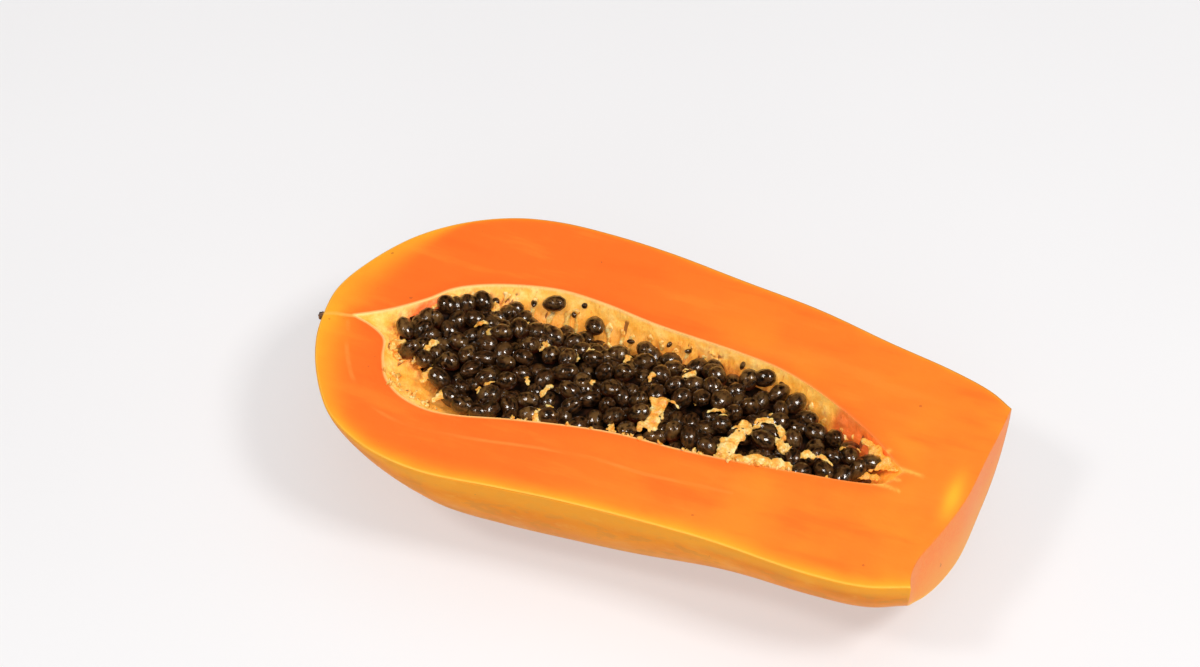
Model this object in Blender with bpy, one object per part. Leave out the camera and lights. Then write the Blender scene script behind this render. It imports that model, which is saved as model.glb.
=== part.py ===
"""Half a ripe papaya, cut lengthwise and trimmed at the stem end, lying on its back with its seeds.

A Blender 4.5 script in metres, +Z up. The origin is on the surface that the half rests on, under the middle
of its box. +X points along the fruit to the trimmed stem end, and +Y across the cut face.
"""

import math
import random

import bmesh
import bpy
import numpy as np
from mathutils import Euler, Matrix, Vector

MM = 0.001
CURVE_STEPS = 16

# Edge of the cut face in mm from the blossom tip: its near side, and its far side
NEAR_EDGE = [
    (0.0, 0.0), (2.6, -11.2), (9.8, -26.0), (20.5, -39.8), (32.8, -47.4), (45.2, -51.1), (60.0, -52.3),
    (82.5, -49.8), (105.6, -47.5), (149.3, -45.9), (185.0, -47.6), (202.6, -46.1), (215.8, -41.3),
]
FAR_EDGE = [
    (0.0, 0.0), (-0.7, 13.0), (4.2, 28.5), (13.8, 45.1), (27.0, 57.6), (42.1, 65.8), (57.1, 69.4),
    (75.0, 70.2), (97.5, 69.0), (125.0, 65.3), (153.5, 61.5), (180.0, 55.4), (203.0, 50.6), (217.0, 46.1),
    (224.8, 41.3),
]

# The hand-cut stem end in plan, from the near corner to the far one
STEM_CUT = [
    (215.8, -41.3), (214.5, -36.4), (214.6, -30.0), (217.0, -21.5), (219.6, -11.6), (221.9, 0.0),
    (223.2, 18.0), (224.2, 30.0), (224.8, 41.3),
]
STEM_CUT_BLEND = 0.85

# Depth of the keel under the cut face along the fruit, and how full its sections are: 2 is an ellipse
KEEL = [
    (75.0, 44.7), (90.0, 45.2), (104.0, 45.5), (116.0, 45.6), (128.0, 45.0), (142.0, 42.8), (158.0, 40.2),
    (185.0, 36.4), (204.0, 34.0), (222.0, 30.0),
]
FULLNESS = [
    (0.0, 1.43), (30.0, 1.57), (60.0, 2.2), (90.0, 2.45), (130.0, 2.26), (170.0, 2.0), (222.0, 2.08),
]
FAN_START = 75.0
FAN_END = 92.0
FAN_POWER = FAN_END / (FAN_END - FAN_START)
SPOT_CUT = 0.35

# Rims of the seed cavity on the cut face, and its depth along the fruit
RIM_FAR = [
    (9.8, 2.9), (20.0, 9.6), (30.0, 18.8), (36.0, 26.0), (44.0, 31.0), (56.0, 35.5), (70.0, 38.4),
    (86.3, 37.7), (105.0, 34.9), (136.0, 32.6), (150.0, 30.6), (165.0, 25.4), (185.4, 14.4), (200.1, 2.5),
]
RIM_NEAR = [
    (9.8, 2.9), (17.3, 0.8), (23.7, -3.1), (27.2, -11.7), (32.0, -19.6), (39.9, -25.0), (49.8, -27.1),
    (58.3, -26.2), (78.3, -20.8), (106.7, -15.1), (135.0, -13.6), (167.7, -9.8), (189.4, -6.5), (196.2, -4.0),
    (200.1, 2.5),
]
CAVITY_DEPTH = [
    (9.8, 0.0), (18.0, 1.2), (25.0, 2.8), (33.0, 5.0), (42.0, 8.2), (52.0, 12.4), (64.0, 16.6),
    (82.0, 20.0), (110.0, 20.5), (140.0, 19.5), (164.0, 17.0), (180.0, 12.5), (191.0, 6.5), (200.1, 0.0),
]
CAVITY_FULLNESS = 3.2
CUTTER_RISE = 9.0

# Seeds: sizes over the wet film, how many lie in each layer, and the gap they keep to the lining
SEED_RANDOM = 11
SEED_LENGTH = (7.4, 8.8)
SEED_WIDTH = (6.0, 6.9)
SEED_HEIGHT = (5.6, 6.4)
SEED_LAYERS = ((118, 0.0, 7, 4), (38, 3.8, 6, 4))
SEED_SPACING = 6.5
SEED_CLEARANCE = 1.4
SETTLE_STEPS = 40
LINING_GAP = 0.4
CORE_BELOW_TOP = 4.8
CORE_FLOOR = 30.0
CORE_MARGIN = -1.5

# Where seed centres may lie, and how high the heap stands against the cut face
BED_FAR = [
    (25.0, 8.0), (34.0, 18.5), (44.0, 27.0), (58.0, 32.0), (76.0, 34.0), (100.0, 31.5), (125.0, 29.5),
    (145.0, 26.5), (160.0, 21.5), (174.0, 15.0), (191.0, 4.5),
]
BED_NEAR = [
    (25.0, 3.5), (31.0, -3.0), (37.0, -6.0), (46.0, -10.8), (58.0, -16.0), (70.0, -18.0), (90.0, -14.6),
    (107.0, -12.0), (130.0, -10.6), (150.0, -9.0), (172.0, -6.4), (191.0, -1.0),
]
HEAP_TOP = 1.2
HEAP_FAR_DROP = 4.5
HEAP_NEAR_DROP = 1.6
HEAP_LEFT = (30.0, 30.0, 4.2)
HEAP_RIGHT = (190.0, 24.0, 3.0)


def curve_through(points, steps=CURVE_STEPS):
    """A smooth curve through the points, as a dense polyline."""
    knots = np.array(points, float)
    spans = np.linalg.norm(np.diff(knots, axis=0), axis=1)
    times = np.concatenate([[0.0], np.cumsum(np.sqrt(spans))])
    slopes = np.gradient(knots, times, axis=0)
    dense = []
    for i in range(len(knots) - 1):
        width = times[i + 1] - times[i]
        for t in np.linspace(0.0, 1.0, steps, endpoint=False):
            dense.append(
                (2 * t**3 - 3 * t**2 + 1) * knots[i]
                + (t**3 - 2 * t**2 + t) * width * slopes[i]
                + (3 * t**2 - 2 * t**3) * knots[i + 1]
                + (t**3 - t**2) * width * slopes[i + 1]
            )
    dense.append(knots[-1])
    return np.array(dense)


def along(curve, fractions):
    """Points at fractions of the curve's length."""
    lengths = np.concatenate([[0.0], np.cumsum(np.linalg.norm(np.diff(curve, axis=0), axis=1))])
    wanted = np.asarray(fractions) * lengths[-1]
    return np.stack([np.interp(wanted, lengths, curve[:, k]) for k in range(curve.shape[1])], axis=1)


def smooth_step(value, low, high):
    t = np.clip((value - low) / (high - low), 0.0, 1.0)
    return t * t * (3 - 2 * t)


rind_curve = curve_through(NEAR_EDGE[:0:-1] + FAR_EDGE)
tip_at = (len(NEAR_EDGE) - 1) * CURVE_STEPS
near_edge = rind_curve[: tip_at + 1][::-1]
far_edge = rind_curve[tip_at:]
stem_cut = curve_through(STEM_CUT)
keel = curve_through(KEEL)
rim_far = curve_through(RIM_FAR)
rim_near = curve_through(RIM_NEAR)
fullness_curve = curve_through(FULLNESS)
cavity_depth = curve_through(CAVITY_DEPTH)
bed_far = curve_through(BED_FAR)
bed_near = curve_through(BED_NEAR)

# The box of the half gives its origin
LENGTH_MIDDLE = (rind_curve[:, 0].min() + rind_curve[:, 0].max()) / 2
WIDTH_MIDDLE = (rind_curve[:, 1].min() + rind_curve[:, 1].max()) / 2
FACE_HEIGHT = keel[:, 1].max() - SPOT_CUT


def placed(x, y, z):
    """Millimetres from the blossom tip, on the cut face's level, to metres in the part's own frame."""
    return Vector(((x - LENGTH_MIDDLE) * MM, (y - WIDTH_MIDDLE) * MM, (z + FACE_HEIGHT) * MM))


def new_object(name, bm, collection):
    bmesh.ops.remove_doubles(bm, verts=bm.verts, dist=1e-6)
    bmesh.ops.recalc_face_normals(bm, faces=bm.faces)
    mesh = bpy.data.meshes.new(name)
    bm.to_mesh(mesh)
    bm.free()
    obj = bpy.data.objects.new(name, mesh)
    collection.objects.link(obj)
    return obj


def as_cutter(obj):
    obj.hide_render = True
    obj.display_type = "WIRE"


def boolean(obj, operation, other, solver="EXACT"):
    cut = obj.modifiers.new(other.name, "BOOLEAN")
    cut.operation = operation
    cut.solver = solver
    if isinstance(other, bpy.types.Collection):
        cut.operand_type = "COLLECTION"
        cut.collection = other
    else:
        cut.object = other
    return cut


def apply_modifiers(obj):
    graph = bpy.context.evaluated_depsgraph_get()
    mesh = bpy.data.meshes.new_from_object(obj.evaluated_get(graph))
    obj.modifiers.clear()
    obj.data = mesh


def keep_main_shell(obj):
    """Fills hollows that the union sealed and drops loose scraps: only the largest connected shell stays."""
    bm = bmesh.new()
    bm.from_mesh(obj.data)
    waiting = set(bm.verts)
    shells = []
    while waiting:
        shell = set()
        front = [waiting.pop()]
        while front:
            vert = front.pop()
            shell.add(vert)
            for edge in vert.link_edges:
                other = edge.other_vert(vert)
                if other in waiting:
                    waiting.remove(other)
                    front.append(other)
        shells.append(shell)
    shells.sort(key=len)
    for shell in shells[:-1]:
        bmesh.ops.delete(bm, geom=list(shell), context="VERTS")
    bm.to_mesh(obj.data)
    bm.free()


def shade(obj, sharp_degrees):
    obj.data.shade_smooth()
    obj.data.set_sharp_from_angle(angle=math.radians(sharp_degrees))


def material(name, colour, roughness):
    made = bpy.data.materials.new(name)
    made.use_nodes = True
    surface = made.node_tree.nodes["Principled BSDF"]
    surface.inputs["Base Color"].default_value = (*colour, 1.0)
    surface.inputs["Roughness"].default_value = roughness
    surface.inputs["Metallic"].default_value = 0.0
    return made


def medial_line(fractions):
    """The keel's place in plan, the depth and the fullness for each pair of far and near edge points."""
    middle = (along(far_edge, fractions) + along(near_edge, fractions)) / 2
    x = middle[:, 0]
    fan = FAN_START + (FAN_END - FAN_START) * np.clip(x / FAN_END, 0.0, 1.0) ** FAN_POWER
    keel_x = np.where(x < FAN_END, fan, x)
    keel_y = np.interp(keel_x, x, middle[:, 1])
    depth = np.interp(keel_x, keel[:, 0], keel[:, 1])
    fullness = np.interp(x, fullness_curve[:, 0], fullness_curve[:, 1])
    return keel_x, keel_y, depth, fullness


def cut_wave(y):
    """How far the hand-cut end departs from a straight cut between its corners."""
    straight = np.interp(y, [STEM_CUT[0][1], STEM_CUT[-1][1]], [STEM_CUT[0][0], STEM_CUT[-1][0]])
    return np.interp(y, stem_cut[:, 1], stem_cut[:, 0]) - straight


def rind_loops(side_count, end_count, ring_count):
    """Closed loops from the cut face's edge down to the keel, each round the tip, the sides and the end."""
    fractions = np.linspace(0.0, 1.0, side_count + 1)
    keel_x, keel_y, depth, fullness = medial_line(fractions)
    blend = smooth_step(fractions, STEM_CUT_BLEND, 1.0)
    end = along(stem_cut, np.linspace(1.0, 0.0, end_count + 1)[1:-1])
    loops = []
    for turn in np.linspace(0.0, math.pi / 2, ring_count + 1):
        inward = math.cos(turn) if turn < math.pi / 2 else 0.0
        drop = depth * (1 - inward ** np.maximum(fullness, 2.0)) ** (1 / fullness)
        sides = []
        for edge in (along(far_edge, fractions), along(near_edge, fractions)):
            x = keel_x + (edge[:, 0] - keel_x) * inward
            y = keel_y + (edge[:, 1] - keel_y) * inward
            sides.append(np.stack([x + cut_wave(y) * blend, y, -drop], axis=1))
        far_corner, near_corner = sides[0][-1], sides[1][-1]
        end_y = keel_y[-1] + (end[:, 1] - keel_y[-1]) * inward
        corner_y = [near_corner[1], far_corner[1]]
        end_x = np.interp(end_y, corner_y, [near_corner[0], far_corner[0]])
        end_x += cut_wave(end_y) - np.interp(end_y, corner_y, cut_wave(corner_y))
        across = np.stack([end_x, end_y, np.full(len(end_y), -drop[-1])], axis=1)
        loops.append(np.concatenate([sides[0], across, sides[1][:0:-1]]))
    return loops


def build_half(collection):
    loops = rind_loops(side_count=42, end_count=12, ring_count=11)
    bm = bmesh.new()
    rings = [[bm.verts.new(placed(*point)) for point in loop] for loop in loops]
    bm.faces.new(rings[0])
    for upper, lower in zip(rings, rings[1:]):
        for i in range(len(upper)):
            j = (i + 1) % len(upper)
            bm.faces.new((upper[i], upper[j], lower[j], lower[i]))
    return new_object("papaya_half", bm, collection)


def cavity_section(x, inset=0.0):
    """Middle, half width and depth of the cavity at a place along the fruit, drawn in by inset."""
    far = float(np.interp(x, rim_far[:, 0], rim_far[:, 1]))
    near = float(np.interp(x, rim_near[:, 0], rim_near[:, 1]))
    depth = float(np.interp(x, cavity_depth[:, 0], cavity_depth[:, 1]))
    return (far + near) / 2, (far - near) / 2 - inset, depth - inset


def cavity_solid(name, collection, inset=0.0, stations=44, across=16):
    """The space of the cavity, closed by a lid raised above the cut face."""
    start = RIM_FAR[0][0] + 9 * inset
    stop = RIM_FAR[-1][0] - 9 * inset
    bm = bmesh.new()
    rings = []
    for turn in np.linspace(0.0, math.pi, stations + 1):
        x = start + (stop - start) * (1 - math.cos(turn)) / 2
        middle, half, depth = cavity_section(x, inset)
        half = max(half, 0.0)
        ring = [bm.verts.new(placed(x, middle - half, CUTTER_RISE))]
        for side in np.linspace(-1.0, 1.0, across + 1):
            floor = -max(depth, 0.0) * (1 - abs(side) ** CAVITY_FULLNESS)
            ring.append(bm.verts.new(placed(x, middle + half * side, floor)))
        ring.append(bm.verts.new(placed(x, middle + half, CUTTER_RISE)))
        rings.append(ring)
    if inset:
        bm.faces.new(rings[0])
        bm.faces.new(rings[-1])
    for left, right in zip(rings, rings[1:]):
        for i in range(len(left)):
            j = (i + 1) % len(left)
            bm.faces.new((left[i], left[j], right[j], right[i]))
    return new_object(name, bm, collection)


def cavity_floor(x, y):
    """The lining's level at a place in plan."""
    middle, half, depth = cavity_section(x)
    side = min(abs(y - middle) / max(half, MM), 1.0)
    return -depth * (1 - side**CAVITY_FULLNESS)


def heap_height(x, y):
    """Top of the seed heap against the cut face's level."""
    middle, half, _ = cavity_section(x)
    side = (y - middle) / max(half, 1.0)
    height = HEAP_TOP - (HEAP_FAR_DROP if side > 0 else HEAP_NEAR_DROP) * side**2
    for edge, reach, drop in (HEAP_LEFT, HEAP_RIGHT):
        height -= drop * max(0.0, 1 - abs(x - edge) / reach) ** 2
    return height


def in_bed(x, y):
    far = np.interp(x, bed_far[:, 0], bed_far[:, 1])
    near = np.interp(x, bed_near[:, 0], bed_near[:, 1])
    return BED_FAR[0][0] < x < BED_FAR[-1][0] and near < y < far


def scatter(draw, count):
    """Evenly scattered points in the bed, each the loneliest of a few random tries."""
    points = []
    while len(points) < count:
        tries = []
        while len(tries) < 16:
            x = draw.uniform(BED_FAR[0][0], BED_FAR[-1][0])
            y = draw.uniform(bed_near[:, 1].min(), bed_far[:, 1].max())
            if in_bed(x, y):
                tries.append((x, y))
        points.append(max(tries, key=lambda p: min([math.dist(p, q) for q in points], default=0.0)))
    return points


def settle(centres, heights):
    """Pushes crowding seeds apart and keeps them in the bed, near the height their layer lies at."""
    for _ in range(SETTLE_STEPS):
        apart = centres[:, None] - centres[None]
        distance = np.linalg.norm(apart, axis=2) + np.eye(len(centres)) * SEED_SPACING
        crowding = np.clip(SEED_SPACING - distance, 0.0, None) / distance
        centres = centres + (apart * crowding[:, :, None]).sum(axis=1) * 0.3
        centres[:, 0] = np.clip(centres[:, 0], BED_FAR[0][0], BED_FAR[-1][0])
        near = np.interp(centres[:, 0], bed_near[:, 0], bed_near[:, 1])
        far = np.interp(centres[:, 0], bed_far[:, 0], bed_far[:, 1])
        centres[:, 1] = np.clip(centres[:, 1], near, far)
        level = np.array([heap_height(x, y) for x, y, _ in centres]) - heights
        centres[:, 2] += 0.4 * (level - centres[:, 2])
        floor = np.array([cavity_floor(x, y) for x, y, _ in centres])
        centres[:, 2] = np.maximum(centres[:, 2], floor + SEED_CLEARANCE)
    return centres


def seed_places():
    """Centre, turn, half sizes, sides and rings of each seed, laid in layers by a seeded rule."""
    draw = random.Random(SEED_RANDOM)
    centres, heights, looks = [], [], []
    for count, sunk, sides, rings in SEED_LAYERS:
        for x, y in scatter(draw, count):
            size = [draw.uniform(*bounds) / 2 for bounds in (SEED_LENGTH, SEED_WIDTH, SEED_HEIGHT)]
            turn = Euler((draw.gauss(0, 0.35), draw.gauss(0, 0.35), draw.uniform(0, math.pi)))
            below = size[2] + sunk + draw.gauss(0, 0.5)
            centres.append((x, y, heap_height(x, y) - below))
            heights.append(below)
            looks.append((turn, size, sides, rings))
    settled = settle(np.array(centres), np.array(heights))
    return [(centre, *look) for centre, look in zip(settled, looks)]


def build_core(collection, stations=22, across=8):
    """The packed body of the heap that the seeds stand out of."""
    bm = bmesh.new()
    rings = []
    for x in np.linspace(BED_FAR[0][0], BED_FAR[-1][0], stations + 1):
        near = np.interp(x, bed_near[:, 0], bed_near[:, 1]) - CORE_MARGIN
        far = np.interp(x, bed_far[:, 0], bed_far[:, 1]) + CORE_MARGIN
        ring = [bm.verts.new(placed(x, near, -CORE_FLOOR))]
        for y in np.linspace(near, far, across + 1):
            ring.append(bm.verts.new(placed(x, y, heap_height(x, y) - CORE_BELOW_TOP)))
        ring.append(bm.verts.new(placed(x, far, -CORE_FLOOR)))
        rings.append(ring)
    bm.faces.new(rings[0])
    bm.faces.new(rings[-1])
    for left, right in zip(rings, rings[1:]):
        for i in range(len(left)):
            j = (i + 1) % len(left)
            bm.faces.new((left[i], left[j], right[j], right[i]))
    return new_object("seeds", bm, collection)


def build_seeds(collection, heap):
    core = build_core(collection)
    for number, (centre, turn, size, sides, rings) in enumerate(seed_places()):
        bm = bmesh.new()
        frame = Matrix.LocRotScale(placed(*centre), turn, Vector(size) * MM)
        bmesh.ops.create_uvsphere(bm, u_segments=sides, v_segments=rings, radius=1.0, matrix=frame)
        new_object(f"seed_{number:03d}", bm, heap)
    boolean(core, "UNION", heap, "MANIFOLD")
    apply_modifiers(core)
    for seed in list(heap.objects):
        bpy.data.objects.remove(seed)
    return core


def main():
    for obj in list(bpy.data.objects):
        bpy.data.objects.remove(obj)
    scene = bpy.context.scene
    part = bpy.data.collections.new("papaya")
    cutters = bpy.data.collections.new("cutters")
    heap = bpy.data.collections.new("loose_seeds")
    for collection in (part, cutters, heap):
        scene.collection.children.link(collection)

    half = build_half(part)
    cavity = cavity_solid("cavity_cutter", cutters)
    bpy.ops.mesh.primitive_cube_add(size=0.4, location=(0, 0, -0.2))
    table = bpy.context.object
    table.name = "spot_cutter"
    for collection in list(table.users_collection):
        collection.objects.unlink(table)
    cutters.objects.link(table)
    boolean(half, "DIFFERENCE", cavity)
    boolean(half, "DIFFERENCE", table)
    half.data.materials.append(material("papaya_flesh", (0.95, 0.30, 0.07), 0.45))

    seeds = build_seeds(part, heap)
    space = cavity_solid("seed_space", cutters, inset=LINING_GAP)
    boolean(seeds, "INTERSECT", space, "MANIFOLD")
    apply_modifiers(seeds)
    keep_main_shell(seeds)
    seeds.data.materials.append(material("papaya_seed", (0.035, 0.028, 0.02), 0.15))
    for cutter in cutters.objects:
        as_cutter(cutter)
    bpy.data.collections.remove(heap)
    shade(half, 35)
    shade(seeds, 50)


main()
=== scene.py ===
"""The looks of half a ripe papaya that lies on its back, its cavity full of wet seeds and pulp.

Shapes are drawn in mm from the blossom tip: +X to the stem end, +Y to the far side, +Z up from the cut face.
"""

import math
import random

import bpy
import numpy as np
from mathutils import Euler, Matrix, Vector


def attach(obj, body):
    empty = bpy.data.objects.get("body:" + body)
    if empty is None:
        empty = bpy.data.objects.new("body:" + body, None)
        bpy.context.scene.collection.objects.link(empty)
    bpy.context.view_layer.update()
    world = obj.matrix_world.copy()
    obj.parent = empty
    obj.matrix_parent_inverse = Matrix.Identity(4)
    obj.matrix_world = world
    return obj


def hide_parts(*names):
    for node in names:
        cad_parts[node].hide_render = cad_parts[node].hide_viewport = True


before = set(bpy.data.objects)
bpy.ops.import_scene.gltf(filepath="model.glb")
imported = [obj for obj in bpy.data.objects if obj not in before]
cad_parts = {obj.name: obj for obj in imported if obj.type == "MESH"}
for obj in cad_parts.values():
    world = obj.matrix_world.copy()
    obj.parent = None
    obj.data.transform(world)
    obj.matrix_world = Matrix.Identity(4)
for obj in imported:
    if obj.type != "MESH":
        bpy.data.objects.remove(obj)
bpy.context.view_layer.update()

MM = 0.001
CURVE_STEPS = 16

# The driving shapes of the part's source
NEAR_EDGE = [
    (0.0, 0.0), (2.6, -11.2), (9.8, -26.0), (20.5, -39.8), (32.8, -47.4), (45.2, -51.1), (60.0, -52.3),
    (82.5, -49.8), (105.6, -47.5), (149.3, -45.9), (185.0, -47.6), (202.6, -46.1), (215.8, -41.3),
]
FAR_EDGE = [
    (0.0, 0.0), (-0.7, 13.0), (4.2, 28.5), (13.8, 45.1), (27.0, 57.6), (42.1, 65.8), (57.1, 69.4),
    (75.0, 70.2), (97.5, 69.0), (125.0, 65.3), (153.5, 61.5), (180.0, 55.4), (203.0, 50.6), (217.0, 46.1),
    (224.8, 41.3),
]
STEM_CUT = [
    (215.8, -41.3), (214.5, -36.4), (214.6, -30.0), (217.0, -21.5), (219.6, -11.6), (221.9, 0.0),
    (223.2, 18.0), (224.2, 30.0), (224.8, 41.3),
]
STEM_CUT_BLEND = 0.85
KEEL = [
    (75.0, 44.7), (90.0, 45.2), (104.0, 45.5), (116.0, 45.6), (128.0, 45.0), (142.0, 42.8), (158.0, 40.2),
    (185.0, 36.4), (204.0, 34.0), (222.0, 30.0),
]
FULLNESS = [(0.0, 1.43), (30.0, 1.57), (60.0, 2.2), (90.0, 2.45), (130.0, 2.26), (170.0, 2.0), (222.0, 2.08)]
FAN_START = 75.0
FAN_END = 92.0
FAN_POWER = FAN_END / (FAN_END - FAN_START)
SPOT_CUT = 0.35
RIM_FAR = [
    (9.8, 2.9), (20.0, 9.6), (30.0, 18.8), (36.0, 26.0), (44.0, 31.0), (56.0, 35.5), (70.0, 38.4),
    (86.3, 37.7), (105.0, 34.9), (136.0, 32.6), (150.0, 30.6), (165.0, 25.4), (185.4, 14.4), (200.1, 2.5),
]
RIM_NEAR = [
    (9.8, 2.9), (17.3, 0.8), (23.7, -3.1), (27.2, -11.7), (32.0, -19.6), (39.9, -25.0), (49.8, -27.1),
    (58.3, -26.2), (78.3, -20.8), (106.7, -15.1), (135.0, -13.6), (167.7, -9.8), (189.4, -6.5),
    (196.2, -4.0), (200.1, 2.5),
]
CAVITY_DEPTH = [
    (9.8, 0.0), (18.0, 1.2), (25.0, 2.8), (33.0, 5.0), (42.0, 8.2), (52.0, 12.4), (64.0, 16.6),
    (82.0, 20.0), (110.0, 20.5), (140.0, 19.5), (164.0, 17.0), (180.0, 12.5), (191.0, 6.5), (200.1, 0.0),
]
CAVITY_FULLNESS = 3.2
SEED_RANDOM = 11
SEED_LENGTH = (7.4, 8.8)
SEED_WIDTH = (6.0, 6.9)
SEED_HEIGHT = (5.6, 6.4)
SEED_LAYERS = ((118, 0.0), (38, 3.8))
SEED_SPACING = 6.5
SEED_CLEARANCE = 1.4
SEED_TURN = 0.35
SETTLE_STEPS = 40
SETTLE_PUSH = 0.3
SETTLE_RETURN = 0.4
BED_FAR = [
    (25.0, 8.0), (34.0, 18.5), (44.0, 27.0), (58.0, 32.0), (76.0, 34.0), (100.0, 31.5), (125.0, 29.5),
    (145.0, 26.5), (160.0, 21.5), (174.0, 15.0), (191.0, 4.5),
]
BED_NEAR = [
    (25.0, 3.5), (31.0, -3.0), (37.0, -6.0), (46.0, -10.8), (58.0, -16.0), (70.0, -18.0), (90.0, -14.6),
    (107.0, -12.0), (130.0, -10.6), (150.0, -9.0), (172.0, -6.4), (191.0, -1.0),
]
HEAP_TOP = 1.2
HEAP_FAR_DROP = 4.5
HEAP_NEAR_DROP = 1.6
HEAP_LEFT = (30.0, 30.0, 4.2)
HEAP_RIGHT = (190.0, 24.0, 3.0)

# How finely the half is drawn: stations round its edge, and rings over skin, cut face and lining
SIDE_STATIONS = 190
END_STATIONS = 44
SKIN_RINGS = 42
FACE_RINGS = 34
LINING_RINGS = 38
RIM_AT_END = 0.93
EDGE_ROUND = 0.6
EDGE_RINGS = (0.12, 0.3, 0.6, 1.3)
SKIN_START = (0.0, 0.004, 0.009, 0.015)
SKIN_SECOND_START = 0.0227
FACE_CROWDING = 1.25
LINING_CROWDING = 1.35
SMOOTH_ANGLE = 42

# The lining's crumbled surface: size and height of its lumps, and where it fades out towards the rim
LINING_LUMPS = (3.2, 1.1)
LUMPS_START = 0.4
LUMPS_FADE = 3.0
LUMPS_LEVELS = 8

# Marks on the cut face
SEAM = [(-0.3, -0.1), (3.7, 1.4), (7.2, 1.9), (10.2, 2.6)]
VEIN = [
    (9.1, 0.1), (14.6, -12.6), (23.9, -25.8), (36.1, -33.7), (49.2, -35.6), (69.6, -33.4), (90.8, -29.3),
    (107.4, -27.5), (124.7, -27.7), (136.2, -26.6), (152.7, -25.2),
]
YELLOW_PATCH = (217.6, -2.0, 2.6, 9.0)
YELLOW_PATCH_STRENGTH = 0.75
YELLOW_WIDTH = 0.9
YELLOW_WIDTH_NEAR = 2.3
YELLOW_WIDTH_TIP = 10.5
YELLOW_TIP_NEAR = 0.6
YELLOW_FALL = 1.4
NEAR_SIDE = (12.0, -14.0)
TIP_SIDE = (30.0, 2.0)
RED_TISSUE = [
    [(174.0, 19.2), (180.0, 15.8), (185.0, 12.6), (189.5, 9.2), (193.0, 6.4)],
    [(28.4, 10.0), (30.2, 14.8), (33.6, 19.0)],
]

# Seeds between and beside the heap's own: how many fill the gaps, and where a few lie apart
GAP_SEEDS = 60
GAP_SEED_TRIES = 60
GAP_SEED_SUNK = 3.0
BARE_TIP = 30.5
STRAY_SEEDS = [
    (27.6, 5.0, -1.8), (32.5, -3.1, -2.5), (32.0, 12.2, -2.4), (33.0, 6.6, -2.6), (38.4, 22.4, -4.6),
    (69.0, 34.6, -3.0), (84.2, 33.0, -6.6), (56.4, 29.4, -6.0), (60.2, 26.8, -6.4), (103.8, 29.6, -7.6),
    (145.4, 28.2, -3.6), (128.0, 27.0, -6.0), (189.0, 4.0, -2.2), (186.0, -0.4, -2.2), (53.4, -16.6, -4.0),
    (58.4, -19.0, -2.8), (64.4, -20.0, -2.8),
]
STUNTED_SEEDS = (50.0, 62.0, 76.0, 79.0, 97.5, 111.0, 118.0, 137.0, 152.0, 164.0)
STUNTED_SIZE = 0.36
STUNTED_BELOW_RIM = (1.6, 4.5)

# The seeds' own shape, and how much they vary
SEED_SIDES = 12
SEED_RINGS = 6
SEED_KINDS = 4
SEED_TILT = 0.28
SEED_STRETCH = ((0.92, 1.10), (0.93, 1.08), (0.93, 1.08))
SEED_RIDGE = 0.035
SEED_POINT = 0.09
SEED_RISE = (-0.5, 0.7)
SUNK_SHARE = 0.10
SUNK_DEPTH = 2.4
PATTERN_SPREAD = 900

# A dark body under the seeds, painted shade for the gaps between them: how deep below the heap's top, and how
# thick at least
SHADE_BELOW_TOP = 6.2
SHADE_ABOVE_LINING = 0.3
SHADE_THICKNESS = 0.2
SHADE_INSET = 2.0
SHADE_LUMPS = (3.0, 1.2)

# Where the heap's far side starts to sink, and how much lower and nearer it lies than in the solids
SINK_FROM_EDGE = 14.0
SUNK_FROM_EDGE = 4.0
FAR_SINK = [
    (42.0, 0.0, 0.0), (54.0, 2.6, 2.6), (64.0, 3.6, 5.4), (92.0, 3.4, 5.0), (106.0, 3.0, 1.4),
    (126.0, 1.8, 0.0), (136.0, 0.0, 0.0),
]

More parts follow.
